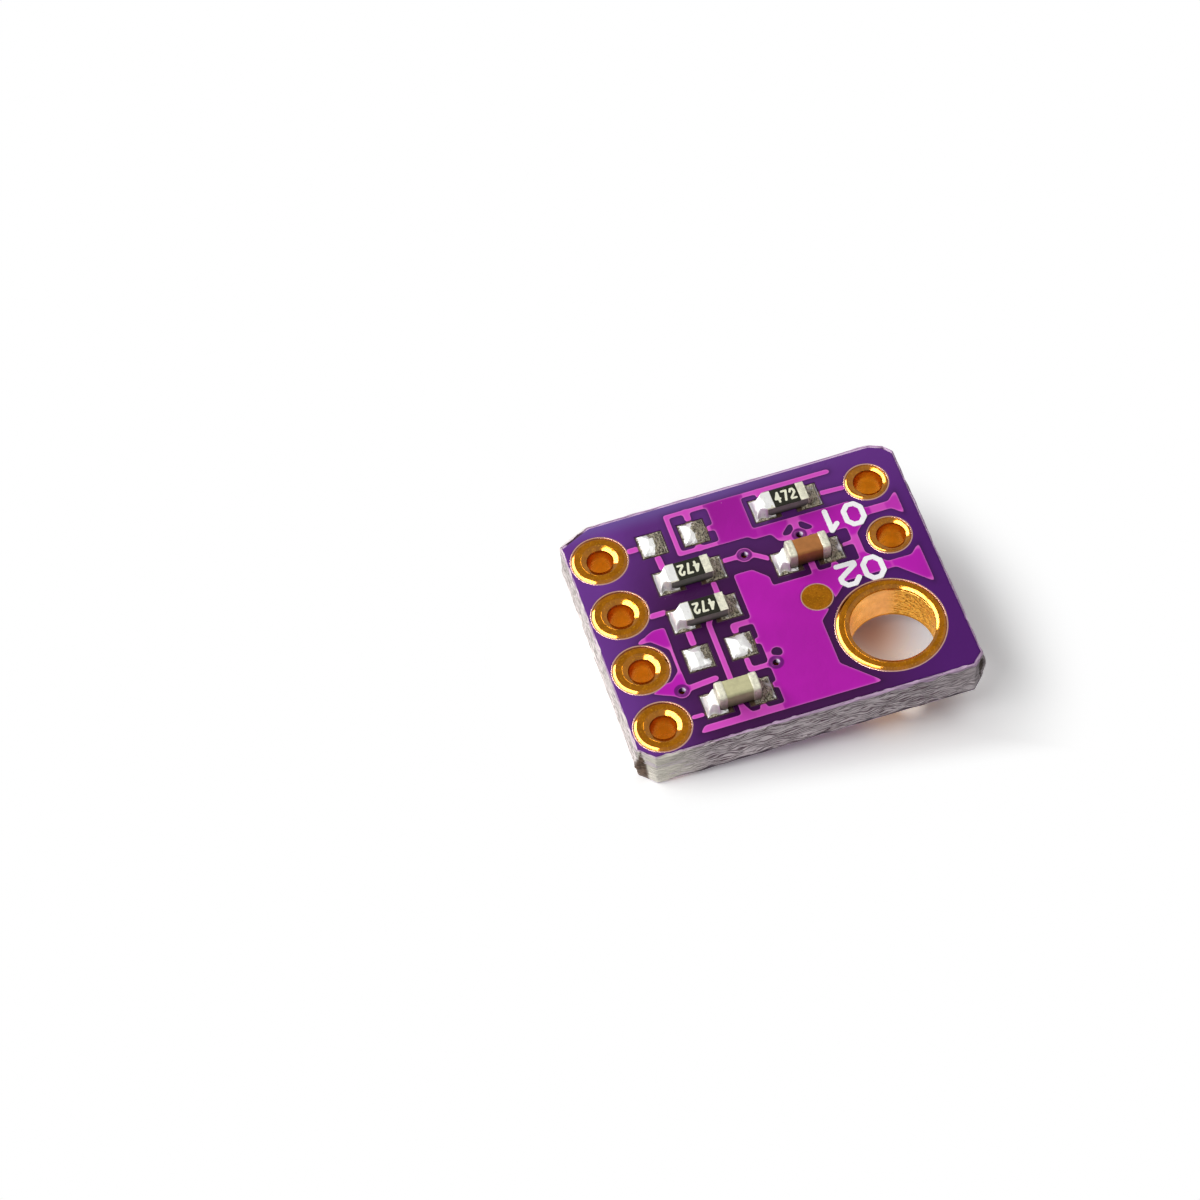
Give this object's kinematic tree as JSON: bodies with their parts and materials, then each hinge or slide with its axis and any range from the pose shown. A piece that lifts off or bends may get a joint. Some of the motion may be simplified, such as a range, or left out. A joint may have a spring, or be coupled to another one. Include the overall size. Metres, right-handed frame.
{
  "type": "humidity sensor module",
  "caption": "Small purple circuit board that senses humidity and temperature, with plated header holes, chip parts and a mounting hole",
  "frame": {"origin": "on the axis of the mounting hole, at the underside of the laminate", "axes": "+Z out of the face with the chip parts, +X along the board's long side from the header pads towards the mounting hole, +Y towards the edge far from the mounting hole"},
  "size_m": [0.0129, 0.0105, 0.0035],
  "materials": {
    "laminate": "rough broken glass-fibre edge",
    "mask": "glossy purple lacquer, pinker over copper",
    "copper": "bare copper foil, seen only through the lacquer",
    "gold_plate": "gold plated, softly brushed",
    "solder": "bright tin solder, frosted in places",
    "alumina": "matt white ceramic",
    "glaze": "black glassy coat",
    "tinned_ends": "dull tin plate",
    "capacitor_brown": "fired brown ceramic",
    "capacitor_cream": "fired cream ceramic",
    "moulding": "black epoxy moulding",
    "sensing_film": "dark glassy chip"
  },
  "bodies": {
    "root": {"laminate": "laminate", "copper_front": "copper", "copper_back": "copper", "mask_front": "mask", "mask_back": "mask", "mounting_land": "gold_plate", "header_pad_1": "gold_plate", "header_pad_2": "gold_plate", "header_pad_3": "gold_plate", "header_pad_4": "gold_plate", "option_pad_1": "gold_plate", "option_pad_2": "gold_plate", "vias": "copper", "plated_dot": "gold_plate", "resistor_1_core": "alumina", "resistor_1_glaze": "glaze", "resistor_1_ends": "tinned_ends", "resistor_1_solder": "solder", "resistor_2_core": "alumina", "resistor_2_glaze": "glaze", "resistor_2_ends": "tinned_ends", "resistor_2_solder": "solder", "resistor_3_core": "alumina", "resistor_3_glaze": "glaze", "resistor_3_ends": "tinned_ends", "resistor_3_solder": "solder", "capacitor_1_body": "capacitor_brown", "capacitor_1_ends": "tinned_ends", "capacitor_1_solder": "solder", "capacitor_2_body": "capacitor_cream", "capacitor_2_ends": "tinned_ends", "capacitor_2_solder": "solder", "solder_bead_1": "solder", "solder_bead_2": "solder", "solder_bead_3": "solder", "solder_bead_4": "solder", "sensor_body": "moulding", "sensor_contacts": "gold_plate", "sensor_die": "sensing_film", "sensor_solder": "solder"}
  },
  "joints": []
}
